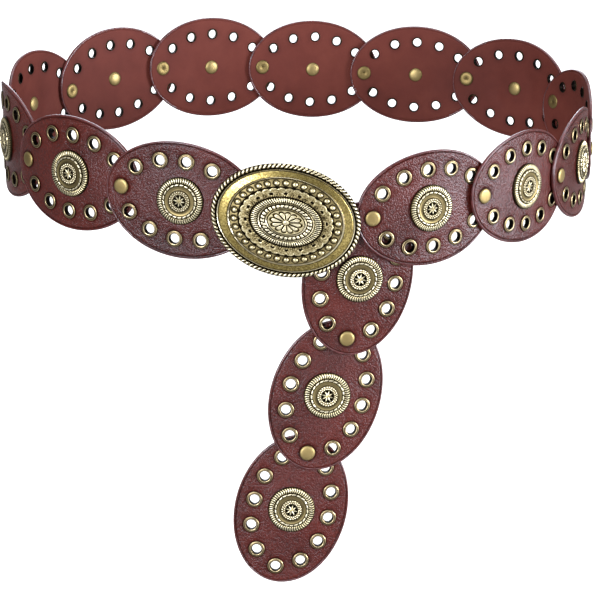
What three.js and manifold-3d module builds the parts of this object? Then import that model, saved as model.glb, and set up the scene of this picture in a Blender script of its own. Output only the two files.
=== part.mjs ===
// A concho belt, shown as it is worn: oval leather panels linked end to end by flat rivets, a cast
// disc at the middle of each panel, a row of eyelet holes round its edge, an oval buckle at the
// front and a tail of panels that hangs from the last link.
// Millimetres, Z up. X runs across the waist, the front is at minus Y, and the origin is the
// middle of the waist.
import * as THREE from 'three';
import { mergeVertices } from 'three/addons/utils/BufferGeometryUtils.js';
import Module from 'manifold-3d';

const wasm = await Module();
wasm.setup();

// Leather panels
const linkPitch = 65; // between the two end holes of a panel
const holeRowWidth = 40.7; // across the oval row of holes
const endMargin = 8.7; // leather past the middle of an end hole
const sideMargin = 9.8; // leather past the middle of a side hole
const leatherThickness = 1.8;
const layerGap = 0.5; // air between two panels where they lie over each other
const holesRound = 12;
const eyeletHole = 5.9;
const linkHole = 5.2;

// Discs and rivets
const conchoDiameter = 24.7;
const conchoEdge = 1.1; // thickness at the rim
const postDiameter = 3;
const studDiameter = 8.4; // the cap that shows on the inside of the leather
const studHeight = 1.5;
const rivetDiameter = 8.1;
const rivetHeight = 1.2;
const shankDiameter = 3;
const seatGap = 0.5; // between metal and the leather that it grips

// Buckle
const buckleLength = 76.7;
const buckleWidth = 58.3;
const buckleEdge = 2.2; // thickness at the rim
const bucklePostInset = 16; // from one end of the buckle to its fixed post
const bucklePostDrop = 2.2; // of that post below the buckle's long axis
const buckleHookInset = 6.4; // level, from the other end of the buckle to its hook
const buckleRise = -13.3; // slope of its long axis, in degrees
const headDiameter = 7.6; // of the post and of the hook, inside the leather
const headHeight = 1.4;

// Path of the belt
const startHeight = -19.8; // of the buckle's fixed post above the origin
const loopPanels = 13;
const hookHole = holesRound / 2 + 1; // of the first tail panel, beside its first rivet

// Rise is the climb from a panel's first rivet to its last, in degrees. The other two say how far
// out each end lies, in layers of leather: a panel's last end covers the next one's first end.
const panelTable = [
  { rise: 9.9, firstLayer: -0.5, lastLayer: 0.5 },
  { rise: 5.8, firstLayer: -0.5, lastLayer: 0.5 },
  { rise: 9.8, firstLayer: -0.5, lastLayer: 0.5 },
  { rise: 5.8, firstLayer: -0.5, lastLayer: 0.5 },
  { rise: 6.7, firstLayer: -0.5, lastLayer: 0.5 },
  { rise: -2.4, firstLayer: -0.5, lastLayer: 0.5 },
  { rise: -4.7, firstLayer: -0.5, lastLayer: 0.5 },
  { rise: -2.1, firstLayer: -0.5, lastLayer: 0.5 },
  { rise: -7.1, firstLayer: -0.5, lastLayer: 0.5 },
  { rise: -15.4, firstLayer: -0.5, lastLayer: 0.5 },
  { rise: -3.1, firstLayer: -0.5, lastLayer: 0.5 },
  { rise: -1.2, firstLayer: -0.5, lastLayer: 0.5 },
  { rise: -5.5, firstLayer: -0.6, lastLayer: -0.6 },
  { rise: -78.7, firstLayer: -1.6, lastLayer: -1.6 },
  { rise: -71, firstLayer: -2.9, lastLayer: -0.9 },
  { rise: -74.8, firstLayer: -1.9, lastLayer: 0.1 },
];

// The waist seen from above is a sum of a few waves, as shares of the first one
const waistWaves = [
  { turns: 1, across: 1, deep: 0.76, lean: 0 },
  { turns: 2, across: 0, deep: 0.007, lean: 0.043 },
  { turns: 3, across: 0.044, deep: 0.025, lean: 0 },
];

// Relief of a disc, from the rim in: share of its radius, and rise as a share of its rim
const conchoRelief = [
  { share: 0.64, rise: 1.1 },
  { share: 0.28, rise: 0.4 },
  { share: 0, rise: 1.3 },
];

// Relief of the buckle, from the rim in, in the same way
const buckleRelief = [
  { share: 0.96, rise: 0.45 },
  { share: 0.78, rise: 0.8 },
  { share: 0.68, rise: 0.35 },
  { share: 0.3, rise: 1.1 },
  { share: 0, rise: 1.45 },
];

// Faces round each shape
const holeSteps = 6;
const linkHoleSteps = 4;
const conchoSteps = 10;
const rivetSteps = 8;
const buckleSteps = 24;

const layer = leatherThickness + layerGap;

// The closed curve that the belt follows, seen from above
class Waistline extends THREE.Curve {
  constructor(size) {
    super();
    this.size = size;
    this.arcLengthDivisions = 1440;
  }

  getPoint(t, target = new THREE.Vector3()) {
    target.set(0, 0, 0);
    for (const wave of waistWaves) {
      const angle = wave.turns * (2 * t - 0.5) * Math.PI;
      target.x += this.size * wave.across * Math.cos(angle);
      target.y += this.size * (wave.deep * Math.sin(angle) + wave.lean * Math.cos(angle));
    }
    return target;
  }
}

function evenOval(length, width, count) {
  return new THREE.EllipseCurve(0, 0, length / 2, width / 2).getSpacedPoints(count).slice(0, count);
}

const holeMiddles = evenOval(linkPitch, holeRowWidth, holesRound);
const betweenHoles = (ring) => ring.filter((point, index) => index % 2 === 1);

// Directions on the unrolled belt: along a panel, and along and up the buckle
const heading = (degrees) => {
  const angle = THREE.MathUtils.degToRad(degrees);
  return new THREE.Vector2(Math.cos(angle), Math.sin(angle));
};
const panelwise = (row) => heading(180 - row.rise);
const buckleLengthwise = heading(buckleRise);
const buckleUpward = heading(buckleRise + 90);

// From the buckle's fixed post to its middle, and from the tail's first rivet to the eyelet that
// hangs on the buckle's hook. They give the span, along the waist, between the two end holes that
// the buckle joins.
const postToMiddle = buckleLengthwise.clone()
  .multiplyScalar(buckleLength / 2 - bucklePostInset)
  .addScaledVector(buckleUpward, bucklePostDrop);
const rivetToHook = holeMiddles[hookHole].clone()
  .sub(holeMiddles[holesRound / 2])
  .rotateAround(new THREE.Vector2(), panelwise(panelTable[loopPanels]).angle());
const buckleSpan = postToMiddle.x + buckleLength / 2 - buckleHookInset - rivetToHook.x;

// The curve is sized so that the loop of panels and the buckle's span just close it
const waistLength = panelTable
  .slice(0, loopPanels)
  .reduce((sum, row) => sum - linkPitch * panelwise(row).x, buckleSpan);
const waistline = new Waistline(waistLength / new Waistline(1).getLength());

// A point of the belt: along the waist from its front middle, up, and out from the waistline
function wrap(along, up, out) {
  const share = THREE.MathUtils.euclideanModulo(along / waistLength, 1);
  const point = waistline.getPointAt(share);
  const run = waistline.getTangentAt(share);
  return new THREE.Vector3(point.x + out * run.y, point.y - out * run.x, up);
}

// Each panel starts where the one before it ends; the first starts at the buckle's fixed post
const panels = [];
let nextStart = new THREE.Vector2(-buckleSpan, startHeight);
for (const row of panelTable) {
  const first = nextStart;
  const last = first.clone().addScaledVector(panelwise(row), linkPitch);
  panels.push({
    middle: first.clone().lerp(last, 0.5),
    lengthwise: panelwise(row),
    firstOut: row.firstLayer * layer,
    lastOut: row.lastLayer * layer,
    linksOn: row !== panelTable.at(-1),
  });
  nextStart = last;
}

// Where a spot of a panel lies on the unrolled belt: lengthwise and crosswise from its middle
function spot(panel, length, cross) {
  const { middle, lengthwise } = panel;
  return new THREE.Vector2(
    middle.x + length * lengthwise.x - cross * lengthwise.y,
    middle.y + length * lengthwise.y + cross * lengthwise.x,
  );
}

// A point of a panel in space, with height measured outwards from the middle of the leather
function onPanel(panel, length, cross, height) {
  const place = spot(panel, length, cross);
  const out = THREE.MathUtils.lerp(panel.firstOut, panel.lastOut, 0.5 + length / linkPitch);
  return wrap(place.x, place.y, out + height);
}

// Corners of a rivet hole at a panel's end, or of an eyelet hole, which the free end has too. The
// first corner points along the row of holes, so that the row can be cut through it.
function holeCorners(panel, index) {
  const middle = holeMiddles[index];
  const next = holeMiddles[(index + 1) % holesRound];
  const before = holeMiddles[(index + holesRound - 1) % holesRound];
  const along = next.clone().sub(before).angle();
  const isLink = index === holesRound / 2 || (index === 0 && panel.linksOn);
  const diameter = isLink ? linkHole : eyeletHole;
  return evenOval(diameter, diameter, isLink ? linkHoleSteps : holeSteps)
    .map((point) => point.rotateAround(new THREE.Vector2(), along).add(middle));
}

// The leather is cut into a strip outside the row of holes, a strip inside it and a field in the
// middle, so that no face is long and the panel can follow the waist
function panelGeometry(panel) {
  const points = [];
  const store = (ring) => ring.map((point) => points.push(point) - 1);
  const panelLength = linkPitch + 2 * endMargin;
  const panelWidth = holeRowWidth + 2 * sideMargin;
  const fieldLength = linkPitch - 2 * endMargin - 2 * eyeletHole;
  const fieldWidth = holeRowWidth - 2 * eyeletHole;
  const outline = store(evenOval(panelLength, panelWidth, 2 * holesRound));
  const row = store(betweenHoles(evenOval(linkPitch, holeRowWidth, 2 * holesRound)));
  const field = store(betweenHoles(evenOval(fieldLength, fieldWidth, 2 * holesRound)));
  const holes = holeMiddles.map((middle, index) => store(holeCorners(panel, index)));
  const postHole = store(evenOval(linkHole, linkHole, linkHoleSteps));

  const faces = [];
  const fill = (border, hole = []) => {
    const corners = [...border, ...hole];
    const inner = hole.length > 0 ? [hole.map((index) => points[index])] : [];
    for (const face of THREE.ShapeUtils.triangulateShape(border.map((index) => points[index]), inner)) {
      const [a, b, c] = face.map((index) => corners[index]);
      const turn = THREE.ShapeUtils.area([points[a], points[b], points[c]]);
      faces.push(turn > 0 ? [a, b, c] : [a, c, b]);
    }
  };
  holes.forEach((hole, index) => {
    const before = (index + holesRound - 1) % holesRound;
    const far = hole.length / 2;
    const innerSide = hole.slice(0, far + 1).reverse();
    const outerSide = [hole[0], ...hole.slice(far).reverse()];
    const edge = [outline[2 * before + 1], outline[2 * index], outline[2 * index + 1]];
    fill([...edge, row[index], ...outerSide, row[before]]);
    fill([row[before], ...innerSide, row[index], field[index], field[before]]);
  });
  fill(field, postHole);

  const count = points.length;
  const half = leatherThickness / 2;
  const place = (height) => points.flatMap((point) => {
    return onPanel(panel, point.x, point.y, height).toArray();
  });
  const index = faces.flatMap(([a, b, c]) => [a, b, c, c + count, b + count, a + count]);
  const wall = (ring, ahead) => ring.forEach((from, step) => {
    const to = ring[(step + ahead + ring.length) % ring.length];
    index.push(from + count, to + count, to, from + count, to, from);
  });
  wall(outline, 1);
  [...holes, postHole].forEach((hole) => wall(hole, -1));

  const geometry = new THREE.BufferGeometry();
  geometry.setAttribute('position', new THREE.Float32BufferAttribute([...place(half), ...place(-half)], 3));
  geometry.setIndex(index);
  return geometry;
}

// Turns and moves a lathed piece so that its Y axis stands on the panel there
function standOn(mesh, panel, length, cross) {
  const step = 0.5;
  const reach = onPanel(panel, length + step, cross, 0).sub(onPanel(panel, length - step, cross, 0));
  const side = onPanel(panel, length, cross + step, 0).sub(onPanel(panel, length, cross - step, 0));
  const out = reach.clone().cross(side).normalize();
  const forward = reach.normalize();
  const across = forward.clone().cross(out);
  mesh.quaternion.setFromRotationMatrix(new THREE.Matrix4().makeBasis(forward, out, across));
  mesh.position.copy(onPanel(panel, length, cross, 0));
}

function lathe(profile, steps) {
  const outline = profile.map(([radius, height]) => new THREE.Vector2(radius, height));
  return new THREE.LatheGeometry(outline, steps);
}

// A disc, its post through the leather and its cap inside are one piece
function conchoGeometry() {
  const seat = leatherThickness / 2 + seatGap;
  const radius = conchoDiameter / 2;
  const rim = seat + conchoEdge;
  return lathe(
    [
      [0, -seat - studHeight],
      [studDiameter / 2, -seat],
      [postDiameter / 2, -seat],
      [postDiameter / 2, seat],
      [radius, seat],
      [radius, rim],
      ...conchoRelief.map(({ share, rise }) => [share * radius, rim + rise * conchoEdge]),
    ],
    conchoSteps,
  );
}

// A rivet with a low cap on each side of the two panels that it joins
function rivetGeometry(upper, lower) {
  const reach = (upper.lastOut - lower.firstOut + leatherThickness) / 2 + seatGap;
  return lathe(
    [
      [0, -reach - rivetHeight],
      [rivetDiameter / 2, -reach],
      [shankDiameter / 2, -reach],
      [shankDiameter / 2, reach],
      [rivetDiameter / 2, reach],
      [0, reach + rivetHeight],
    ],
    rivetSteps,
  );
}

function asSolid(geometry) {
  const plain = geometry.clone();
  plain.deleteAttribute('normal');
  plain.deleteAttribute('uv');
  const merged = mergeVertices(plain, 1e-4);
  const index = merged.index.array;
  const triVerts = [];
  for (let i = 0; i < index.length; i += 3) {
    const [a, b, c] = [index[i], index[i + 1], index[i + 2]];
    if (a !== b && b !== c && a !== c) triVerts.push(a, b, c);
  }
  return new wasm.Manifold(new wasm.Mesh({
    numProp: 3,
    vertProperties: new Float32Array(merged.attributes.position.array),
    triVerts: new Uint32Array(triVerts),
  }));
}

function fromSolid(solid) {
  const mesh = solid.getMesh();
  const geometry = new THREE.BufferGeometry();
  geometry.setAttribute('position', new THREE.BufferAttribute(mesh.vertProperties, 3));
  geometry.setIndex(new THREE.BufferAttribute(mesh.triVerts, 1));
  return geometry;
}

// The buckle's fixed post goes through the first panel's end hole and its hook through an eyelet
// of the tail. It is made flat, with X along it, Y out and Z down, and then bent round the waist.
function buckleGeometry() {
  const post = spot(panels[0], -linkPitch / 2, 0);
  const hook = spot(panels[loopPanels], -linkPitch / 2, 0).add(rivetToHook);
  hook.x += waistLength;
  const middle = post.clone().add(postToMiddle);
  const back = leatherThickness / 2 + seatGap;
  const rim = back + buckleEdge;

  const plate = lathe(
    [
      [0, back],
      [1, back],
      [1, rim],
      ...buckleRelief.map(({ share, rise }) => [share, rim + rise * buckleEdge]),
    ],
    buckleSteps,
  ).scale(buckleLength / 2, 1, buckleWidth / 2);
  const peg = (place, leatherOut) => {
    const headTop = leatherOut - leatherThickness / 2 - seatGap;
    const fromMiddle = place.clone().sub(middle);
    return lathe(
      [
        [0, headTop - headHeight],
        [headDiameter / 2, headTop - headHeight],
        [headDiameter / 2, headTop],
        [shankDiameter / 2, headTop],
        [shankDiameter / 2, back + buckleEdge / 2],
        [0, back + buckleEdge / 2],
      ],
      rivetSteps,
    ).translate(fromMiddle.dot(buckleLengthwise), 0, -fromMiddle.dot(buckleUpward));
  };
  const solid = asSolid(plate)
    .add(asSolid(peg(post, panels[0].firstOut)))
    .add(asSolid(peg(hook, panels[loopPanels].firstOut)));
  const geometry = fromSolid(solid);
  const position = geometry.attributes.position;
  for (let i = 0; i < position.count; i += 1) {
    const along = position.getX(i);
    const down = position.getZ(i);
    const flat = middle.clone()
      .addScaledVector(buckleLengthwise, along)
      .addScaledVector(buckleUpward, -down);
    const place = wrap(flat.x, flat.y, position.getY(i));
    position.setXYZ(i, place.x, place.y, place.z);
  }
  return geometry;
}

function finish(color, roughness, metalness) {
  return new THREE.MeshStandardMaterial({ color, roughness, metalness, flatShading: true });
}

const leather = finish(0x6b3a36, 0.55, 0);
const antiqueBrass = finish(0xa08a52, 0.4, 1);
const brightBrass = finish(0xc2ad6a, 0.3, 1);

const belt = new THREE.Group();
const number = (index) => String(index + 1).padStart(2, '0');

function addPiece(name, geometry, material) {
  const mesh = new THREE.Mesh(geometry, material);
  mesh.name = name;
  belt.add(mesh);
  return mesh;
}

panels.forEach((panel, index) => {
  addPiece(`leather_panel_${number(index)}`, panelGeometry(panel), leather);
  const concho = addPiece(`concho_${number(index)}`, conchoGeometry(), antiqueBrass);
  standOn(concho, panel, 0, 0);
});

panels.slice(1).forEach((lower, index) => {
  const upper = panels[index];
  const rivet = addPiece(`link_rivet_${number(index)}`, rivetGeometry(upper, lower), brightBrass);
  standOn(rivet, upper, linkPitch / 2, 0);
  const halfway = new THREE.Vector3(0, (lower.firstOut - upper.lastOut) / 2, 0);
  rivet.position.add(halfway.applyQuaternion(rivet.quaternion));
});

addPiece('buckle', buckleGeometry(), antiqueBrass);

export default belt;
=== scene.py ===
import bisect
import math

import bmesh
import bpy
from mathutils import Matrix, Vector, noise


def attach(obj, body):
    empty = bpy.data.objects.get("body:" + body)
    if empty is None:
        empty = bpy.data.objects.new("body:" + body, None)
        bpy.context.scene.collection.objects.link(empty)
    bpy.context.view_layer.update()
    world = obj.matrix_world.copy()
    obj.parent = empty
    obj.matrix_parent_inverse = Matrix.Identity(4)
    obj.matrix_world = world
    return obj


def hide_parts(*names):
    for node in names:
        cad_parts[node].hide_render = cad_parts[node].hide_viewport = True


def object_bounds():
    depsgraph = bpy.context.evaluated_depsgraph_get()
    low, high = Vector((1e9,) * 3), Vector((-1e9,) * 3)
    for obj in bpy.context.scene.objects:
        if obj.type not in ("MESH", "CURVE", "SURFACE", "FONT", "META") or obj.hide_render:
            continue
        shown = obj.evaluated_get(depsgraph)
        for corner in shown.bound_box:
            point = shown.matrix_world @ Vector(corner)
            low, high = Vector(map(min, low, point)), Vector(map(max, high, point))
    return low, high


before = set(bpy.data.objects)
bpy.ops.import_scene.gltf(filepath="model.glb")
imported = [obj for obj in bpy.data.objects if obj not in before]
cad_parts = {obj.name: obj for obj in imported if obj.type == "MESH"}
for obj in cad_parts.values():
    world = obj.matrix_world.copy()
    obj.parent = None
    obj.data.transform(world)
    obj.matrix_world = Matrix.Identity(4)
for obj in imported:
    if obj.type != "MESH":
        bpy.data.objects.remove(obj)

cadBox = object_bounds()
print("frame loaded")

# A concho belt, worn round a waist. Each piece is shaped flat in millimetres, with X along its panel,
# Y across it and Z out of the leather, and then bent or stood on the belt, in metres.
mm = 0.001

belt = {
    "buckleSpan": 67.24,  # along the waist, between the two end holes that the buckle joins
    "startHeight": -19.8,  # of the buckle's fixed post
    "linkPitch": 65.0,  # between the two end holes of a panel
    "holeRowWidth": 40.7,
    "holesRound": 12,
    "thickness": 1.8,
    "layer": 2.3,  # one thickness of leather and the air up to the next
    "loopPanels": 13,
    # climb of each panel from its first rivet to its last, in degrees
    "rises": [9.9, 5.8, 9.8, 5.8, 6.7, -2.4, -4.7, -2.1, -7.1, -15.4, -3.1, -1.2, -5.5, -78.7, -71, -74.8],
    "usualLayers": (-0.5, 0.5),  # how far out a panel's two ends lie, in layers
    "otherLayers": {12: (-0.6, -0.6), 13: (-1.6, -1.6), 14: (-2.9, -0.9), 15: (-1.9, 0.1)},
    # the waist seen from above is a sum of a few waves
    "waves": [
        {"turns": 1, "across": 1, "deep": 0.76, "lean": 0},
        {"turns": 2, "across": 0, "deep": 0.007, "lean": 0.043},
        {"turns": 3, "across": 0.044, "deep": 0.025, "lean": 0},
    ],
    "waistSteps": 1440,
}
half = belt["thickness"] / 2

view = {
    "stand": (-294.4, -1035.0, 195.9),  # where the camera stood, and the spot that it faced
    "aim": (-3.34, 0.94, -99.7),
    "lens": 115.16,
    "sensor": 36,
}


def makeCamera():
    data = bpy.data.cameras.new("view_of_belt")
    data.lens = view["lens"]
    data.sensor_width = view["sensor"]
    data.clip_end = 100
    camera = bpy.data.objects.new("view_of_belt", data)
    bpy.context.scene.collection.objects.link(camera)
    camera.location = Vector(view["stand"]) * mm
    facing = Vector(view["aim"]) - Vector(view["stand"])
    camera.rotation_euler = facing.to_track_quat("-Z", "Y").to_euler()
    bpy.context.scene.camera = camera


makeCamera()
print("camera placed")


# Path of the belt


def waistPoint(share):  # of the waist seen from above, at unit size
    point = Vector((0, 0))
    for wave in belt["waves"]:
        angle = wave["turns"] * (2 * share - 0.5) * math.pi
        point.x += wave["across"] * math.cos(angle)
        point.y += wave["deep"] * math.sin(angle) + wave["lean"] * math.cos(angle)
    return point


def runningLengths(points):
    lengths = [0.0]
    for here, there in zip(points, points[1:]):
        lengths.append(lengths[-1] + (there - here).length)
    return lengths


def shareAt(lengths, reached):  # share of the steps at which a length is reached
    step = min(bisect.bisect_right(lengths, reached), len(lengths) - 1) - 1
    part = (reached - lengths[step]) / (lengths[step + 1] - lengths[step])
    return (step + part) / (len(lengths) - 1)


def heading(degrees):
    return Vector((math.cos(math.radians(degrees)), math.sin(math.radians(degrees))))


waistLengths = runningLengths([waistPoint(n / belt["waistSteps"]) for n in range(belt["waistSteps"] + 1)])
loopRises = belt["rises"][:belt["loopPanels"]]
loopRuns = [belt["linkPitch"] * math.cos(math.radians(rise)) for rise in loopRises]
waistLength = sum(loopRuns) + belt["buckleSpan"]
waistSize = waistLength / waistLengths[-1]


def wrap(along, up, out):  # from the unrolled belt to its place round the waist
    share = shareAt(waistLengths, (along % waistLength) / waistSize)
    near = 0.5 / belt["waistSteps"]
    run = (waistPoint(share + near) - waistPoint(share - near)).normalized()
    point = waistPoint(share) * waistSize
    return Vector((point.x + out * run.y, point.y - out * run.x, up)) * mm


# Each panel starts where the one before it ends
panels = []
chainEnd = Vector((-belt["buckleSpan"], belt["startHeight"]))
for number, rise in enumerate(belt["rises"]):
    lengthwise = heading(180 - rise)
    firstLayer, lastLayer = belt["otherLayers"].get(number, belt["usualLayers"])
    panels.append({
        "name": f"{number + 1:02d}",
        "middle": chainEnd + lengthwise * belt["linkPitch"] / 2,
        "lengthwise": lengthwise,
        "firstOut": firstLayer * belt["layer"],
        "lastOut": lastLayer * belt["layer"],
    })
    chainEnd = chainEnd + lengthwise * belt["linkPitch"]


def onPanel(panel, length, cross, height):
    middle, lengthwise = panel["middle"], panel["lengthwise"]
    spot = middle + lengthwise * length + lengthwise.orthogonal() * cross
    share = 0.5 + length / belt["linkPitch"]
    out = panel["firstOut"] + (panel["lastOut"] - panel["firstOut"]) * share
    return wrap(spot.x, spot.y, out + height)


def standOn(panel, length, cross):  # frame of a rigid piece that stands on a panel
    step = 0.5
    forward = onPanel(panel, length + step, cross, 0) - onPanel(panel, length - step, cross, 0)
    forward.normalize()
    side = onPanel(panel, length, cross + step, 0) - onPanel(panel, length, cross - step, 0)
    out = forward.cross(side).normalized()
    turn = Matrix((forward, out.cross(forward), out)).transposed().to_4x4()
    return Matrix.Translation(onPanel(panel, length, cross, 0)) @ turn @ Matrix.Scale(mm, 4)


# The holes lie at even distances along an oval row
rowSteps = 360
rowLengths = runningLengths([
    Vector((belt["linkPitch"] / 2 * math.cos(2 * math.pi * n / rowSteps),
            belt["holeRowWidth"] / 2 * math.sin(2 * math.pi * n / rowSteps)))
    for n in range(rowSteps + 1)
])


def rowSpot(share, outside=0.0):  # at a share of the way round the row, and so far outside it
    angle = 2 * math.pi * shareAt(rowLengths, (share % 1) * rowLengths[-1])
    length = belt["linkPitch"] / 2 + outside
    width = belt["holeRowWidth"] / 2 + outside
    return Vector((length * math.cos(angle), width * math.sin(angle)))


def smooth(value):
    value = min(1, max(0, value))
    return value * value * (3 - 2 * value)


def mix(low, high, share):
    return low + (high - low) * share


# Shaping of round pieces


def spunSheet(rings, steps):  # a flat round sheet whose rings stand one unit apart
    bm = bmesh.new()
    chain = [bm.verts.new((ring, 0, 0)) for ring in rings]
    edges = [bm.edges.new(pair) for pair in zip(chain, chain[1:])]
    bmesh.ops.spin(bm, geom=chain + edges, cent=(0, 0, 0), axis=(0, 0, 1), dvec=(0, 0, 0),
                   angle=2 * math.pi, steps=steps, use_merge=True, use_duplicate=False)
    return bm


def ringAndTurn(point):
    return round(math.hypot(point.x, point.y)), math.atan2(point.y, point.x) / (2 * math.pi) % 1


def joinSheet(bm, sheet):
    mesh = bpy.data.meshes.new("sheet")
    sheet.to_mesh(mesh)
    sheet.free()
    bm.from_mesh(mesh)
    bpy.data.meshes.remove(mesh)


# Of a profile of radius, height and how rubbed it is there, which on eyelets and caps also paints shade
# and highlight
def addTurned(bm, profile, steps, place=Matrix()):
    sheet = spunSheet(range(1, len(profile) + 1), steps)
    wear = sheet.verts.layers.float.new("wear")
    for vert in sheet.verts:
        ring, turn = ringAndTurn(vert.co)
        radius, height, rubbedAndShaded = profile[ring - 1]
        angle = 2 * math.pi * turn
        vert.co = place @ Vector((radius * math.cos(angle), radius * math.sin(angle), height))
        vert[wear] = rubbedAndShaded
    joinSheet(bm, sheet)


def tidyUp(bm, near=0.004):
    bmesh.ops.remove_doubles(bm, verts=bm.verts, dist=near)
    bmesh.ops.dissolve_degenerate(bm, edges=bm.edges, dist=near / 10)
    bmesh.ops.recalc_face_normals(bm, faces=bm.faces)


def finishPiece(name, bm, materials, replaced=None, creaseAngle=50):
    mesh = bpy.data.meshes.new(name)
    bm.to_mesh(mesh)
    bm.free()
    mesh.shade_smooth()
    mesh.set_sharp_from_angle(angle=math.radians(creaseAngle))
    for material in materials:
        mesh.materials.append(material)
    piece = bpy.data.objects.new(name, mesh)
    bpy.context.scene.collection.objects.link(piece)
    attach(piece, "root")
    if replaced:
        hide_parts(replaced)
    return piece


# Materials


def colour(hexText):  # sRGB as written, turned linear
    parts = [int(hexText[at:at + 2], 16) / 255 for at in (1, 3, 5)]
    return (*[part / 12.92 if part <= 0.04045 else ((part + 0.055) / 1.055) ** 2.4 for part in parts], 1)


def addNode(tree, kind, inputs=None, **settings):
    node = tree.nodes.new(kind)
    for name, value in settings.items():
        setattr(node, name, value)
    for name, value in (inputs or {}).items():
        if isinstance(value, bpy.types.NodeSocket):
            tree.links.new(value, node.inputs[name])
        else:
            node.inputs[name].default_value = value
    return node


def newMaterial(name):
    material = bpy.data.materials.new(name)
    material.use_nodes = True
    tree = material.node_tree
    shader = tree.nodes["Principled BSDF"]
    return material, tree, shader


def perMillimetre(size):  # pattern scale for a detail of that size, in millimetres
    return 1 / (size * mm)


def shadeRamp(tree, share, stops):  # colours at shares of a value
    ramp = addNode(tree, "ShaderNodeValToRGB", {"Fac": share})
    elements = ramp.color_ramp.elements
    elements[0].position, elements[0].color = stops[0][0], colour(stops[0][1])
    elements[1].position, elements[1].color = stops[-1][0], colour(stops[-1][1])
    for position, tone in stops[1:-1]:
        elements.new(position).color = colour(tone)
    return ramp.outputs["Color"]


coatedLeather = {
    "dark": "#230805",
    "tone": "#40130c",
    "light": "#4c1b14",
    "grain": 1.0,  # size of the pebbles
    "grainDepth": 0.25,
    "cloud": 30,  # size of the uneven patches of colour
    "roughness": 0.27,
    "shine": 0.3,
    "pressedShine": 0.1,  # beside a fitting, where the coat is rubbed off
}


def makeCoatedLeather():
    # Split leather with a pressed and coated grain: an even burgundy whose small pebbles break up
    # the light of a lamp into a greyish speckle. The hollows between the pebbles get painted shade. Where
    # a fitting presses it is smoother and dull, and painted shade darkens it.
    spec = coatedLeather
    material, tree, shader = newMaterial("leather_coated_burgundy")
    place = addNode(tree, "ShaderNodeTexCoord").outputs["Object"]
    pressAndShade = addNode(tree, "ShaderNodeAttribute", attribute_name="pressAndShade").outputs["Fac"]
    cloud = addNode(tree, "ShaderNodeTexNoise",
                    {"Vector": place, "Scale": perMillimetre(spec["cloud"]), "Detail": 2.0})
    pebbles = addNode(tree, "ShaderNodeTexVoronoi",
                      {"Vector": place, "Scale": perMillimetre(spec["grain"]), "Randomness": 1.0},
                      feature="SMOOTH_F1")
    creases = addNode(tree, "ShaderNodeTexNoise",
                      {"Vector": place, "Scale": perMillimetre(spec["grain"] / 2), "Detail": 3.0})
    grain = addNode(tree, "ShaderNodeMath",
                    {0: pebbles.outputs["Distance"], 1: creases.outputs["Fac"]}, operation="ADD")
    # painted shade: the hollows between the pebbles are coloured darker
    creaseShade = addNode(tree, "ShaderNodeMapRange",
                      {"Value": grain.outputs["Value"], "From Min": 0.6, "From Max": 1.2,
                       "To Min": -0.15, "To Max": 0.25})
    # painted shade from the press attribute, in the dimples round fittings and in the rim's groove and
    # bevel
    sinkAndShade = addNode(tree, "ShaderNodeMath", {0: creaseShade.outputs["Result"], 1: pressAndShade}, operation="ADD")
    shade = addNode(tree, "ShaderNodeMath", {0: cloud.outputs["Fac"], 1: sinkAndShade.outputs["Value"]},
                    operation="SUBTRACT", use_clamp=True)
    base = shadeRamp(tree, shade.outputs["Value"],
                     [(0.0, spec["dark"]), (0.5, spec["tone"]), (0.8, spec["light"])])
    tree.links.new(base, shader.inputs["Base Color"])
    flattened = addNode(tree, "ShaderNodeMapRange",
                        {"Value": pressAndShade, "From Min": 0.05, "From Max": 0.3, "To Min": 1.0,
                         "To Max": 0.5})
    bump = addNode(tree, "ShaderNodeBump",
                   {"Height": grain.outputs["Value"], "Strength": flattened.outputs["Result"],
                    "Distance": spec["grainDepth"] * mm}, invert=True)
    tree.links.new(bump.outputs["Normal"], shader.inputs["Normal"])
    shine = addNode(tree, "ShaderNodeMapRange",
                    {"Value": pressAndShade, "From Max": 0.25, "To Min": spec["shine"],
                     "To Max": spec["pressedShine"]})
    tree.links.new(shine.outputs["Result"], shader.inputs["Specular IOR Level"])
    shader.inputs["Roughness"].default_value = spec["roughness"]
    return material


liningLeather = {
    "tones": ["#3f1a14", "#50241c", "#5a2c22"],
    "fibre": 1.6,
    "fibreDepth": 0.1,
    "cloud": 30,
    "roughness": 0.7,
    "shine": 0.12,
}


def makeLiningLeather():
    # The back of the same leather, buffed smooth and dyed red brown: matt, with a faint nap. Round the
    # fittings it is darkened with painted shade.
    spec = liningLeather
    material, tree, shader = newMaterial("leather_smooth_back")
    place = addNode(tree, "ShaderNodeTexCoord").outputs["Object"]
    cloud = addNode(tree, "ShaderNodeTexNoise",
                    {"Vector": place, "Scale": perMillimetre(spec["cloud"]), "Detail": 6.0,
                     "Roughness": 0.65})
    pressAndShade = addNode(tree, "ShaderNodeAttribute", attribute_name="pressAndShade")
    # painted shade round the fittings on the back, from the press attribute
    shade = addNode(tree, "ShaderNodeMath",
                    {0: cloud.outputs["Fac"], 1: pressAndShade.outputs["Fac"]}, operation="SUBTRACT",
                    use_clamp=True)
    dark, tone, light = spec["tones"]
    base = shadeRamp(tree, shade.outputs["Value"], [(0.1, dark), (0.5, tone), (0.8, light)])
    tree.links.new(base, shader.inputs["Base Color"])
    nap = addNode(tree, "ShaderNodeTexNoise",
                  {"Vector": place, "Scale": perMillimetre(spec["fibre"]), "Detail": 5.0,
                   "Roughness": 0.7})
    bump = addNode(tree, "ShaderNodeBump",
                   {"Height": nap.outputs["Fac"], "Strength": 0.2, "Distance": spec["fibreDepth"] * mm})
    tree.links.new(bump.outputs["Normal"], shader.inputs["Normal"])
    shader.inputs["Roughness"].default_value = spec["roughness"]
    shader.inputs["Specular IOR Level"].default_value = spec["shine"]
    return material


edgePaint = {"tones": ["#341412", "#502523"], "ripple": 2.5, "rippleDepth": 0.1, "roughness": 0.32}


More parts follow.
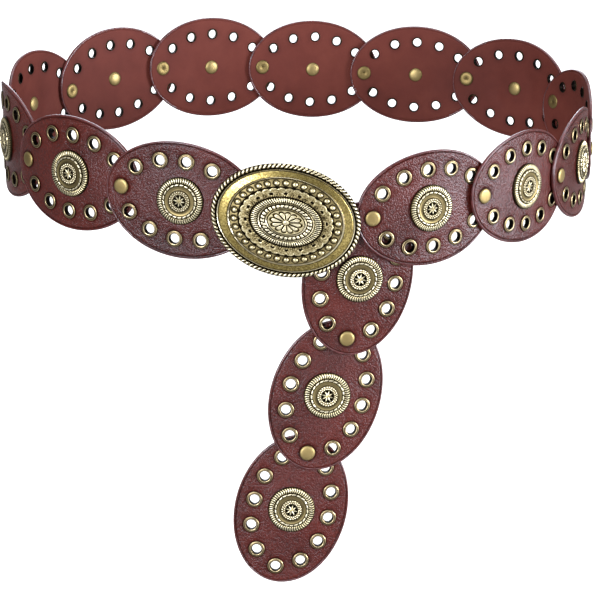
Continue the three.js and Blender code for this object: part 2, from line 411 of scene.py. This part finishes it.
def makeEdgePaint():
    # Rubber edge paint rolled over the cut: darker and glossier than the leather, a little wavy
    spec = edgePaint
    material, tree, shader = newMaterial("edge_paint_dark")
    place = addNode(tree, "ShaderNodeTexCoord").outputs["Object"]
    ripple = addNode(tree, "ShaderNodeTexNoise",
                     {"Vector": place, "Scale": perMillimetre(spec["ripple"]), "Detail": 3.0})
    dark, light = spec["tones"]
    tree.links.new(shadeRamp(tree, ripple.outputs["Fac"], [(0.35, dark), (0.65, light)]),
                   shader.inputs["Base Color"])
    bump = addNode(tree, "ShaderNodeBump",
                   {"Height": ripple.outputs["Fac"], "Strength": 0.3,
                    "Distance": spec["rippleDepth"] * mm})
    tree.links.new(bump.outputs["Normal"], shader.inputs["Normal"])
    shader.inputs["Roughness"].default_value = spec["roughness"]
    return material


metalFinish = {"pitDepth": 0.05, "lacquerRoughness": 0.3}


def makeMetal(name, spec):
    # Colour follows the wear attribute: on the castings from the dye left in the hollows to the rubbed
    # high spots, on the eyelets and caps painted shade and highlight
    material, tree, shader = newMaterial(name)
    place = addNode(tree, "ShaderNodeTexCoord").outputs["Object"]
    wear = addNode(tree, "ShaderNodeAttribute", attribute_name="wear").outputs["Fac"]
    cloud = addNode(tree, "ShaderNodeTexNoise",
                    {"Vector": place, "Scale": perMillimetre(spec["cloud"]), "Detail": 5.0,
                     "Roughness": 0.6})
    uneven = addNode(tree, "ShaderNodeMapRange",
                     {"Value": cloud.outputs["Fac"], "To Min": -spec["uneven"], "To Max": spec["uneven"]})
    rubbedAndShaded = addNode(tree, "ShaderNodeMath",
                     {0: wear, 1: uneven.outputs["Result"]}, operation="ADD", use_clamp=True)
    tree.links.new(shadeRamp(tree, rubbedAndShaded.outputs["Value"], spec["tones"]), shader.inputs["Base Color"])
    gloss = addNode(tree, "ShaderNodeMapRange",
                    {"Value": rubbedAndShaded.outputs["Value"], "To Min": spec["dull"], "To Max": spec["bright"]})
    tree.links.new(gloss.outputs["Result"], shader.inputs["Roughness"])
    pits = addNode(tree, "ShaderNodeTexNoise",
                   {"Vector": place, "Scale": perMillimetre(spec["pit"]), "Detail": 2.0})
    bump = addNode(tree, "ShaderNodeBump",
                   {"Height": pits.outputs["Fac"], "Strength": spec["pitted"],
                    "Distance": metalFinish["pitDepth"] * mm})
    tree.links.new(bump.outputs["Normal"], shader.inputs["Normal"])
    shader.inputs["Metallic"].default_value = 1
    shader.inputs["Coat Weight"].default_value = spec["lacquer"]
    shader.inputs["Coat Roughness"].default_value = metalFinish["lacquerRoughness"]
    return material


antiqueBrass = {  # cast zinc, brass plated, dyed dark and tumbled: black hollows, pale worn tops
    "tones": [(0.0, "#080603"), (0.25, "#2e2718"), (0.55, "#7f724c"), (0.8, "#bab089"), (1.0, "#d8d0b3")],
    "dull": 0.55, "bright": 0.36, "cloud": 5, "uneven": 0.1, "pit": 0.45, "pitted": 0.5, "lacquer": 0.0,
}
satinBorder = {  # the same casting, left as a fine hammered satin: olive gold with a grainy sparkle,
    # under a lacquer that adds a white glint
    "tones": [(0.0, "#2a2107"), (0.5, "#746329"), (1.0, "#aa9a5a")],
    "dull": 0.42, "bright": 0.28, "cloud": 0.9, "uneven": 1.2, "pit": 0.6, "pitted": 1.0, "lacquer": 0.5,
}
satinBrass = {  # pressed brass sheet, lacquered: one even pale gold with soft reflections; its darker tones paint shade at the caps' edges and in the inner caps' dimples
    "tones": [(0.0, "#261f10"), (0.5, "#6e5f3a"), (1.0, "#99885a")],
    "dull": 0.6, "bright": 0.48, "cloud": 4, "uneven": 0.14, "pit": 0.5, "pitted": 0.15, "lacquer": 0.0,
}
eyeletBrass = {  # thin drawn brass, rolled over: a light gold flange with a painted highlight on its top, round a barrel painted near black as shade
    "tones": [(0.0, "#060403"), (0.35, "#2b2317"), (0.7, "#8b7c5a"), (1.0, "#c4b592")],
    "dull": 0.55, "bright": 0.3, "cloud": 3, "uneven": 0.12, "pit": 0.5, "pitted": 0.1, "lacquer": 0.0,
}

leatherFront = makeCoatedLeather()
leatherBack = makeLiningLeather()
leatherEdge = makeEdgePaint()
castBrass = makeMetal("zinc_cast_antique_brass", antiqueBrass)
borderBrass = makeMetal("zinc_cast_satin_border", satinBorder)
capBrass = makeMetal("brass_sheet_satin", satinBrass)
ringBrass = makeMetal("brass_eyelet_light", eyeletBrass)
print("materials made")


# Leather panels

panelShape = {
    "cellSteps": 32,  # round each hole
    "rowHalf": 6.2,  # half the width of the band that the holes are cut from
    "edgeFrom": 0.975,  # share of the way out at which the painted edge starts
    "eyeletHole": 5.9,
    "linkHole": 3.2,
    "postHole": 3.2,
    "cellRings": [3.7, 4.5, 5.3],  # radii round each hole
    "fieldRings": 7,
    "endMargin": 8.7,  # leather past the middle of an end hole, and of a side hole
    "sideMargin": 9.8,
    # from the row's band out to the edge: share of the way, how far the surface has dropped there, and how
    # smooth it is pressed and how much painted shade it gets in the groove and over the bevel
    "rim": [(0.3, 0, 0), (0.5, 0.02, 0.1), (0.56, 0.24, 0.5), (0.63, 0.24, 0.5), (0.69, 0.02, 0.14),
            (0.82, 0.03, 0.12), (0.92, 0.16, 0.15), (0.98, 0.4, 0.2), (1, 0.9, 0.3)],
    "eyeletPress": 0.22,  # how deep a cap or an eyelet sinks into the leather
    "linkPress": 0.3,
    "pressStart": 4.3,
    "pressEnd": 5.7,
    "pressShade": 1.5,  # painted shade: how much darker the leather is coloured per millimetre that it is pressed down
    "backShade": 0.4,  # the back's share of that
    "waviness": 0.3,
    "wave": 26,
    "waveStep": 7.3,  # so that no two panels are wavy alike
    "flatUnderDisc": (12.6, 17.0),
    "waveFade": 8,
}


# A cell's grid lines lie as tangents, to meet those of its hole
def cellSpot(cell, fraction, outside):
    return rowSpot((cell + math.tan(fraction * math.pi / 2) / 2) / belt["holesRound"], outside)


def holeCell(number, radius):  # a hole, the rings round it and the edge of its share of the band
    rings = [radius, radius, *panelShape["cellRings"], None]
    sheet = spunSheet(range(1, len(rings) + 1), panelShape["cellSteps"])
    middle = rowSpot(number / belt["holesRound"])
    near = 0.01
    along = rowSpot((number + near) / belt["holesRound"]) - rowSpot((number - near) / belt["holesRound"])
    along.normalize()
    outward = Vector((along.y, -along.x))
    for vert in sheet.verts:
        ring, turn = ringAndTurn(vert.co)
        angle = 2 * math.pi * turn
        right, up = math.cos(angle), math.sin(angle)
        height = 0 if ring == 1 else half
        if rings[ring - 1]:
            spot = middle + (along * right + outward * up) * rings[ring - 1]
        elif abs(right) > abs(up) + 1e-6:
            spot = cellSpot(number, math.copysign(0.5, right), panelShape["rowHalf"] * up / abs(right))
        else:
            fraction = math.atan(right / abs(up)) * 2 / math.pi
            spot = cellSpot(number, fraction, math.copysign(panelShape["rowHalf"], up))
        vert.co = (spot.x, spot.y, height)
    return sheet


def spokeOf(turn):
    position = turn * belt["holesRound"]
    return round(position), position - round(position)


def pressDepth(length, cross, depths):
    sinkAndShade = 0
    start, end = panelShape["pressStart"], panelShape["pressEnd"]
    for number in range(belt["holesRound"]):
        away = (Vector((length, cross)) - rowSpot(number / belt["holesRound"])).length
        share = 1 - smooth((away - start) / (end - start))
        sinkAndShade = max(sinkAndShade, share * depths[number])
    return sinkAndShade


def makePanelTemplate(linksOn):
    bm = bmesh.new()
    pressAndShade = bm.verts.layers.float.new("pressAndShade")
    count = belt["holesRound"]
    spokes = count * panelShape["cellSteps"] // 4
    isLink = [number == count // 2 or (number == 0 and linksOn) for number in range(count)]
    for number in range(count):
        radius = panelShape["linkHole"] / 2 if isLink[number] else panelShape["eyeletHole"] / 2
        joinSheet(bm, holeCell(number, radius))

    field = spunSheet(range(1, panelShape["fieldRings"] + 3), spokes)
    for vert in field.verts:
        ring, turn = ringAndTurn(vert.co)
        spot = cellSpot(*spokeOf(turn), -panelShape["rowHalf"])
        share = max(0, ring - 2) / panelShape["fieldRings"]
        spot = (spot.normalized() * panelShape["postHole"] / 2).lerp(spot, share)
        vert.co = (spot.x, spot.y, 0 if ring == 1 else half)
    joinSheet(bm, field)

    edgeLength = belt["linkPitch"] / 2 + panelShape["endMargin"]
    edgeWidth = belt["holeRowWidth"] / 2 + panelShape["sideMargin"]
    widenX = edgeLength / (belt["linkPitch"] / 2 + panelShape["rowHalf"])
    widenY = edgeWidth / (belt["holeRowWidth"] / 2 + panelShape["rowHalf"])
    rim = spunSheet(range(1, len(panelShape["rim"]) + 2), spokes)
    rimShadeLayer = rim.verts.layers.float.new("pressAndShade")
    # painted shade in the rim's groove and over its bevel
    for vert in rim.verts:
        ring, turn = ringAndTurn(vert.co)
        share, drop, sinkAndShade = (0, 0, 0) if ring == 1 else panelShape["rim"][ring - 2]
        inner = cellSpot(*spokeOf(turn), panelShape["rowHalf"])
        spot = inner.lerp(Vector((inner.x * widenX, inner.y * widenY)), share)
        vert.co = (spot.x, spot.y, half - drop)
        vert[rimShadeLayer] = sinkAndShade
    joinSheet(bm, rim)

    bmesh.ops.remove_doubles(bm, verts=bm.verts, dist=0.02)
    bmesh.ops.mirror(bm, geom=bm.verts[:] + bm.edges[:] + bm.faces[:], matrix=Matrix(),
                     merge_dist=0.001, axis="Z", mirror_u=False, mirror_v=False)
    bmesh.ops.remove_doubles(bm, verts=bm.verts, dist=0.01)
    bmesh.ops.recalc_face_normals(bm, faces=bm.faces)

    for face in bm.faces:
        middle = face.calc_center_median()
        nearEdge = math.hypot(middle.x / edgeLength, middle.y / edgeWidth) > panelShape["edgeFrom"]
        if nearEdge or abs(face.normal.z) < 0.5:
            face.material_index = 2
        elif middle.z < 0:
            face.material_index = 1

    # painted shade in the dimples round each fitting, weaker on the back
    depths = [panelShape["linkPress"] if link else panelShape["eyeletPress"] for link in isLink]
    for vert in bm.verts:
        sinkAndShade = pressDepth(vert.co.x, vert.co.y, depths)
        face = vert.co.z / half
        shade = max(vert[pressAndShade], panelShape["pressShade"] * sinkAndShade)
        vert[pressAndShade] = shade * (1 if face > 0 else panelShape["backShade"])
        if face > 0:
            vert.co.z -= sinkAndShade * face
    return bm


def onFlattenedPanel(place, stand, point):  # the leather lies flat under its disc
    flat = stand @ point
    bent = onPanel(place, point.x, point.y, point.z)
    start, end = panelShape["flatUnderDisc"]
    return flat.lerp(bent, smooth((point.xy.length - start) / (end - start)))


panelTemplates = {True: makePanelTemplate(True), False: makePanelTemplate(False)}
print("panel template", len(panelTemplates[True].faces), "faces")
for number, place in enumerate(panels):
    bm = panelTemplates[number < len(panels) - 1].copy()
    stand = standOn(place, 0, 0)
    for vert in bm.verts:
        point = vert.co.copy()
        sample = Vector((point.x / panelShape["wave"], point.y / panelShape["wave"],
                         number * panelShape["waveStep"]))
        away = smooth((point.xy.length - panelShape["flatUnderDisc"][0]) / panelShape["waveFade"])
        point.z += panelShape["waviness"] * away * noise.noise(sample)
        vert.co = onFlattenedPanel(place, stand, point)
    finishPiece(f"leather_{place['name']}", bm, [leatherFront, leatherBack, leatherEdge],
                f"leather_panel_{place['name']}", creaseAngle=70)
for template in panelTemplates.values():
    template.free()
print("leather panels bent")


# Eyelets and rivets

eyelet = {
    "steps": 20,
    # radius, height past the middle of the leather, and how rubbed and shaded: up the barrel, over the
    # flange and back through the hole. The barrel, a groove ring on the flange and its outer edge get
    # painted shade; the flange tops a painted highlight.
    "outline": [(2.55, -half - 0.45, 0), (2.55, 0.5, 0), (2.7, half + 0.25, 0.05), (3.0, half + 0.5, 0.75),
                (3.25, half + 0.57, 0.85), (3.55, half + 0.48, 0.2), (3.8, half + 0.45, 0.6),
                (4.15, half + 0.3, 0.75), (4.35, half + 0.05, 0.2), (4.45, half - 0.3, 0),
                (3.3, -half - 0.02, 0.3), (2.9, -half - 0.5, 0.3)],
}


def makeEyelets(place, numbers):
    bm = bmesh.new()
    bm.verts.layers.float.new("wear")
    for number in numbers:
        spot = rowSpot(number / belt["holesRound"])
        outline = eyelet["outline"] + eyelet["outline"][:1]
        addTurned(bm, outline, eyelet["steps"], standOn(place, spot.x, spot.y))
    tidyUp(bm, 0.004 * mm)
    finishPiece(f"eyelets_{place['name']}", bm, [ringBrass], creaseAngle=80)


for number, place in enumerate(panels):
    holes = [hole for hole in range(belt["holesRound"]) if hole % (belt["holesRound"] // 2)]
    if place is panels[-1]:
        holes.append(0)
    makeEyelets(place, holes)
print("eyelets set")

rivet = {
    "steps": 32,
    "shank": 1.5,
    "bite": 0.1,  # how far the caps press into the leather, both together
    # radius, height above the leather and how rubbed and shaded, from the middle out; the low values paint
    # shade at the caps' edges and in the inner cap's dimple
    "outerCap": [(0, 0.95, 0.65), (2.4, 0.9, 0.7), (3.4, 0.74, 0.95), (3.85, 0.45, 0.7), (4.05, 0.1, 0.1),
                 (3.9, -0.15, 0)],
    "innerCap": [(0, 0.3, 0.3), (0.6, 0.42, 0.35), (1.1, 0.72, 0.6), (3.2, 0.75, 0.6), (3.95, 0.5, 0.45),
                 (4.3, 0.1, 0.05), (4.1, -0.15, 0)],
}


def addRivet(bm, reach, outerCap, innerCap, steps, place):
    upper = [(radius, reach + height, rubbedAndShaded) for radius, height, rubbedAndShaded in outerCap]
    lower = [(radius, -reach - height, rubbedAndShaded) for radius, height, rubbedAndShaded in reversed(innerCap)]
    shank = [(rivet["shank"], upper[-1][1], 0), (rivet["shank"], lower[0][1], 0)]
    addTurned(bm, upper + shank + lower, steps, place)


for number, (upper, lower) in enumerate(zip(panels, panels[1:])):
    bm = bmesh.new()
    bm.verts.layers.float.new("wear")
    offset = (lower["firstOut"] - upper["lastOut"]) / 2
    place = standOn(upper, belt["linkPitch"] / 2, 0) @ Matrix.Translation((0, 0, offset))
    reach = (upper["lastOut"] - lower["firstOut"] + belt["thickness"]) / 2 - rivet["bite"]
    addRivet(bm, reach, rivet["outerCap"], rivet["innerCap"], rivet["steps"], place)
    tidyUp(bm, 0.004 * mm)
    finishPiece(f"rivet_{upper['name']}", bm, [capBrass], f"link_rivet_{upper['name']}")
print("rivets set")


# Cast relief. A pattern gives its height and how rubbed it is, at x from the inner to the outer edge
# of its zone and at a share of the turn.


def plain(x, turn, zone):
    return 0, zone.get("wear", 0.6)


def ribs(x, turn, zone):
    lobe = abs(math.cos(math.pi * (zone["count"] * turn + zone["lean"] * math.sin(math.pi * x))))
    ends = math.sin(math.pi * min(1, max(0, x))) ** 0.3
    top = smooth((lobe - 0.4) / 0.4)
    return zone["depth"] * top * ends, (0.04 + 0.9 * top) * (0.35 + 0.65 * ends)


def rope(x, turn, zone):
    across = math.sqrt(max(0, 1 - (2 * x - 1) ** 2))
    lobe = abs(math.cos(math.pi * (zone["count"] * turn + zone["lean"] * x)))
    strand = smooth((lobe - zone["gap"]) / 0.4)
    return zone["depth"] * across * (0.4 + 0.6 * strand), 0.03 + 0.97 * strand * across ** 0.3


def beads(x, turn, zone):
    aside = ((zone["count"] * turn + 0.5) % 1 - 0.5) / zone["roundness"]
    away = math.hypot(aside, (x - 0.5) / zone["tallness"])
    dome = math.sqrt(max(0, 1 - away ** 2))
    ground = zone["ground"] * smooth((away - 1.02) / 0.5)
    return zone["depth"] * (dome + 0.3 * ground), (0.3 + 0.55 * dome) if away < 1 else ground


def lace(x, turn, zone):  # a plate with a lobed edge, round holes and small chased leaves
    lobe = abs(math.sin(math.pi * zone["count"] * turn)) ** 0.7
    edge = 0.8 + 0.16 * lobe
    plate = smooth((edge - x) / 0.06)
    aside = ((zone["count"] / 2 * turn) % 1 - 0.5) / 0.16
    hole = max(0, 1 - aside ** 2 - ((x - 0.34) / 0.13) ** 2) ** 0.5
    leaf = smooth((abs(math.sin(math.pi * (zone["count"] * turn + 0.5))) - 2 * x) / 0.3)
    vein = 0.5 + 0.5 * math.cos(2 * math.pi * (3 * zone["count"] * turn + 2 * x))
    lip = math.exp(-((edge - x - 0.12) / 0.07) ** 2)
    rough = noise.noise(Vector((math.cos(2 * math.pi * turn), math.sin(2 * math.pi * turn), x / 3)) * 34)
    rimmed = math.exp(-((math.hypot(aside, (x - 0.34) / 0.13) - 1.25) / 0.3) ** 2)
    worn = 0.5 + 0.06 * smooth((x - 0.42) / 0.2) + 0.2 * (lip + rimmed) - 0.32 * leaf * vein + 0.4 * rough
    return zone["depth"] * (plate * (1 - 0.3 * leaf * vein + 0.25 * lip) - hole), plate * worn * (1 - hole)


def grains(x, turn, zone):
    row = min(int(x * zone["rows"]), zone["rows"] - 1)
    within = x * zone["rows"] - row
    wave = 0.5 + 0.5 * math.cos(2 * math.pi * (zone["count"] * turn + 0.5 * (row % 2)))
    dot = wave * math.sin(math.pi * within)
    return zone["depth"] * dot, 0.3 + 0.7 * smooth(1.6 * dot)


def star(x, turn, zone):
    aside = abs((zone["count"] * turn + 0.5) % 1 - 0.5) * 2
    edge = mix(1.08, 0.3, aside ** 0.9)
    raised = smooth((edge - x) / 0.12)
    return zone["depth"] * raised * (1 - 0.35 * aside), 0.03 + 0.85 * raised


def petals(x, turn, zone):  # rounded petals, cut out by a dark line from each other and from the ground
    aside = abs((zone["count"] * turn + 0.5) % 1 - 0.5) * 2
    gap = math.exp(-(((1 - aside) * (x + 0.12)) / 0.15) ** 2)
    tip = 0.85 - 0.24 * aside ** 2.4
    outline = math.exp(-((x - tip) / 0.06) ** 2)
    ground = smooth((x - tip) / 0.05)
    cut = max(gap * (1 - ground), outline)
    return zone["depth"] * (1 - 0.5 * ground) * (1 - cut), (0.9 - 0.15 * ground) * (1 - cut) ** 1.5


# A relief is a stack of zones from the middle out and round to the back. Reach is half of the length and
# of the width of a zone's outer edge, and height is there above the leather.
def addRelief(bm, zones, steps, evenOn):  # with its steps spaced evenly along one oval
    rows = [(zone, ring / zone["rings"]) for zone in zones[1:] for ring in range(1, zone["rings"] + 1)]
    sheet = spunSheet(range(len(rows) + 1), steps)
    wear = sheet.verts.layers.float.new("wear")
    for face in sheet.faces:
        face.material_index = rows[int(face.calc_center_median().length)][0].get("material", 0)
    before = dict(zip([id(zone) for zone in zones[1:]], zones))
    angles = [2 * math.pi * n / steps for n in range(steps + 1)]
    lengths = runningLengths([
        Vector((evenOn[0] * math.cos(angle), evenOn[1] * math.sin(angle))) for angle in angles
    ])
    for vert in sheet.verts:
        ring, turn = ringAndTurn(vert.co)
        zone, x = (zones[1], 0) if ring == 0 else rows[ring - 1]
        inner = before[id(zone)]
        raised, rubbedAndShaded = zone.get("pattern", plain)(x, turn, zone)
        angle = 2 * math.pi * shareAt(lengths, turn * lengths[-1])
        vert.co = (mix(inner["reach"][0], zone["reach"][0], x) * math.cos(angle),
                   mix(inner["reach"][1], zone["reach"][1], x) * math.sin(angle),
                   mix(inner["height"], zone["height"], x) + raised)
        vert[wear] = min(1, max(0, rubbedAndShaded))
    joinSheet(bm, sheet)


disc = {
    "radius": 12.35,
    "steps": 336,
    # radius, height above the leather and how rubbed and shaded, of the cap on the inside; its edge gets
    # painted shade
    "studOutline": [(0, 1.25, 0.95), (1.6, 1.18, 0.9), (2.9, 0.92, 0.9), (3.7, 0.55, 0.75),
                    (4.2, 0.05, 0.1), (4.1, -0.1, 0)],
    "studSteps": 28,
}


def discZones():
    radius = disc["radius"]

    def zone(share, height, rings, **more):
        return {"reach": (share * radius, share * radius), "height": half + height, "rings": rings, **more}

    return [
        zone(0, 1.6, 0),
        zone(0.255, 1.45, 10, pattern=star, count=8, depth=0.8),
        zone(0.275, 2.2, 2, wear=0.3),
        zone(0.44, 2.1, 8, pattern=grains, count=24, rows=2, depth=0.4),
        zone(0.455, 1.85, 1, wear=0.1),
        zone(0.54, 1.75, 3, wear=0.36),
        zone(0.62, 1.95, 3, wear=0.46),
        zone(0.645, 1.7, 1, wear=0.05),
        zone(0.73, 1.7, 8, pattern=rope, count=21, depth=0.7, lean=0.35, gap=0.15),
        zone(0.745, 1.5, 1, wear=0.02),
        zone(0.98, 1.1, 6, pattern=ribs, count=56, depth=0.45, lean=0.4),
        zone(1.0, 0.8, 1, wear=0.1),
        zone(1.0, 0.1, 1, wear=0.1),
        zone(0.97, -0.05, 1, wear=0.1),
        zone(0.1, -0.05, 1, wear=0.1),
    ]


discTemplate = bmesh.new()
discTemplate.verts.layers.float.new("wear")
addRelief(discTemplate, discZones(), disc["steps"], (1, 1))
tidyUp(discTemplate, 0.01)
print("disc template", len(discTemplate.faces), "faces")

for place in panels:
    bm = discTemplate.copy()
    stand = standOn(place, 0, 0)
    for vert in bm.verts:
        vert.co = stand @ vert.co
    stud = [(radius, -half - height, rubbedAndShaded) for radius, height, rubbedAndShaded in reversed(disc["studOutline"])]
    shank = [(0, half, 0), (rivet["shank"], half, 0), (rivet["shank"], stud[0][1], 0)]
    addTurned(bm, shank + stud, disc["studSteps"], stand)
    tidyUp(bm, 0.002 * mm)
    for face in bm.faces:
        if (stand.inverted() @ face.calc_center_median()).z < 0:
            face.material_index = 1
    finishPiece(f"disc_{place['name']}", bm, [castBrass, capBrass],
                f"concho_{place['name']}")
discTemplate.free()
print("discs set")


# Buckle

buckle = {
    "length": 76.7,
    "rise": -13.3,  # slope of its long axis, in degrees
    "postInset": 16,
    "postDrop": 2.2,
    "hookHole": 7,
    "play": 0.3,  # between the leather and the buckle's back, and its pegs' heads
    "pegSteps": 24,
    "pegRoot": 0.5,  # how deep a peg is cast into the buckle
    "seat": half + 0.3,
    "steps": 640,
    "evenOn": (25.9, 19.8),
    # radius, height towards the leather and how rubbed and shaded, of a peg's head on the inside; its rim
    # towards the leather gets painted shade
    "head": [(0, -1.4, 0.7), (3.3, -1.3, 0.7), (3.8, -0.9, 0.5), (3.8, -0.3, 0.2), (3.4, 0, 0)],
}


def buckleZones():
    def zone(length, width, height, rings, **more):
        return {"reach": (length, width), "height": buckle["seat"] + height, "rings": rings, **more}

    return [
        zone(0, 0, 5.6, 0),
        zone(1.3, 1.0, 5.3, 3, wear=0.9),
        zone(9.0, 6.0, 5.0, 17, pattern=petals, count=12, depth=0.5),
        zone(9.4, 6.3, 4.6, 1, wear=0.02),
        zone(10.1, 6.8, 5.15, 3, wear=0.95),
        zone(10.6, 7.15, 4.65, 1, wear=0.03),
        zone(13.0, 8.95, 4.6, 8, pattern=rope, count=32, depth=0.65, lean=0.3, gap=0.3),
        zone(13.3, 9.2, 4.5, 1, wear=0.1),
        zone(13.9, 9.6, 4.95, 2, wear=0.95),
        zone(14.3, 9.85, 4.5, 1, wear=0.05),
        zone(17.8, 12.3, 4.25, 9, pattern=ribs, count=80, depth=0.5, lean=0.0),
        zone(18.4, 12.75, 3.8, 2, wear=0.02),
        zone(24.2, 17.8, 3.6, 20, pattern=lace, count=32, depth=0.55),
        zone(28.2, 21.5, 3.2, 13, pattern=beads, count=32, depth=1.0, roundness=0.31, tallness=0.36,
             ground=0.52),
        zone(28.5, 21.75, 2.9, 1, wear=0.03),
        zone(29.2, 22.4, 3.65, 3, wear=0.98),
        zone(29.6, 22.7, 3.2, 1, wear=0.05),
        zone(34.1, 25.3, 2.55, 8, wear=0.6, material=1),
        zone(34.4, 25.5, 2.3, 1, wear=0.05),
        zone(34.9, 25.95, 2.8, 2, wear=0.95),
        zone(35.3, 26.3, 1.9, 1, wear=0.0),
        zone(35.9, 26.8, 1.7, 1, wear=0.0),
        zone(38.35, 29.15, 1.2, 9, pattern=rope, count=92, depth=1.1, lean=0.8, gap=0.42),
        zone(38.1, 28.9, 0.4, 2, wear=0.15),
        zone(37.2, 28.0, 0, 1, wear=0.25),
        zone(0, 0, 0, 9, wear=0.3),
    ]


def makeBuckle():
    firstPanel, tailPanel = panels[0], panels[belt["loopPanels"]]
    along, upward = heading(buckle["rise"]), heading(buckle["rise"] + 90)
    post = firstPanel["middle"] - firstPanel["lengthwise"] * belt["linkPitch"] / 2
    middle = post + along * (buckle["length"] / 2 - buckle["postInset"]) + upward * buckle["postDrop"]
    spot = rowSpot(buckle["hookHole"] / belt["holesRound"])
    lengthwise = tailPanel["lengthwise"]
    hook = tailPanel["middle"] + lengthwise * spot.x + lengthwise.orthogonal() * spot.y
    hook.x += waistLength

    bm = bmesh.new()
    bm.verts.layers.float.new("wear")
    addRelief(bm, buckleZones(), buckle["steps"], buckle["evenOn"])
    for peg, leatherOut in ((post, firstPanel["firstOut"]), (hook, tailPanel["firstOut"])):
        top = leatherOut - half - buckle["play"]
        root = buckle["seat"] + buckle["pegRoot"]
        outline = [(radius, top + height, rubbedAndShaded) for radius, height, rubbedAndShaded in buckle["head"]]
        outline += [(rivet["shank"], top, 0), (rivet["shank"], root, 0), (0, root, 0)]
        aside = peg - middle
        place = Matrix.Translation((aside.dot(along), aside.dot(upward), 0))
        addTurned(bm, outline, buckle["pegSteps"], place)
    tidyUp(bm, 0.004)
    for vert in bm.verts:
        flat = middle + along * vert.co.x + upward * vert.co.y
        vert.co = wrap(flat.x, flat.y, vert.co.z)
    print("buckle", len(bm.faces), "faces")
    finishPiece("buckle_cast", bm, [castBrass, borderBrass], "buckle")


makeBuckle()
print("buckle set")


# Floor and light

studio = {
    "floorDrop": 1.5,  # below the tail
    "floorHalf": 15000,
    "floorTone": "#8f8e8c",
    "floorGlow": 1.1,  # the sheet is overlit to a clean white
    "skyTone": "#ffffff",
    "skyStrength": 0.42,
    "lampTone": "#f0f2ff",
    # where each lamp stands, its size, its power in watts, and what it faces if not the belt's middle
    "lamps": [
        {"name": "softbox_front_left", "stand": (-900, -1500, 1300), "size": 900, "power": 20},
        {"name": "softbox_top", "stand": (300, 200, 1900), "size": 1400, "power": 36},
        {"name": "softbox_low_left", "stand": (-1020, -1080, 240), "size": 380, "power": 26},
        {"name": "softbox_low_right", "stand": (1230, -860, 120), "size": 640, "power": 52},
        {"name": "softbox_back", "stand": (300, 1900, 700), "size": 1300, "power": 30},
        # lights a patch of the sheet that the leather beside the buckle mirrors
        {"name": "softbox_over_sheet", "stand": (60, -900, -60), "size": 240, "power": 15,
         "aim": (60, -900, -220)},
    ],
}


def makeStudio():
    bm = bmesh.new()
    bmesh.ops.create_grid(bm, x_segments=1, y_segments=1, size=studio["floorHalf"] * mm)
    mesh = bpy.data.meshes.new("floor")
    bm.to_mesh(mesh)
    bm.free()
    floor = bpy.data.objects.new("floor", mesh)
    bpy.context.scene.collection.objects.link(floor)
    floor.location.z = cadBox[0].z - studio["floorDrop"] * mm
    material, tree, shader = newMaterial("paper_sheet_pale")  # matt white studio paper
    shader.inputs["Base Color"].default_value = colour(studio["floorTone"])
    shader.inputs["Roughness"].default_value = 0.9
    shader.inputs["Specular IOR Level"].default_value = 0.1
    shader.inputs["Emission Color"].default_value = colour(studio["skyTone"])
    seen = addNode(tree, "ShaderNodeLightPath").outputs["Is Camera Ray"]
    glow = addNode(tree, "ShaderNodeMath", {0: seen, 1: studio["floorGlow"]}, operation="MULTIPLY")
    tree.links.new(glow.outputs["Value"], shader.inputs["Emission Strength"])
    mesh.materials.append(material)

    world = bpy.data.worlds.new("studio")
    world.use_nodes = True
    sky = world.node_tree.nodes["Background"]
    sky.inputs["Color"].default_value = colour(studio["skyTone"])
    sky.inputs["Strength"].default_value = studio["skyStrength"]
    bpy.context.scene.world = world

    for lamp in studio["lamps"]:
        data = bpy.data.lights.new(lamp["name"], "AREA")
        data.shape = "DISK"
        data.size = lamp["size"] * mm
        data.energy = lamp["power"]
        data.color = colour(studio["lampTone"])[:3]
        light = bpy.data.objects.new(lamp["name"], data)
        bpy.context.scene.collection.objects.link(light)
        light.location = Vector(lamp["stand"]) * mm
        facing = Vector(lamp.get("aim", (0, 0, 0))) * mm - light.location
        light.rotation_euler = facing.to_track_quat("-Z", "Y").to_euler()


makeStudio()
bpy.context.scene.view_settings.view_transform = "Standard"
print("studio lit")
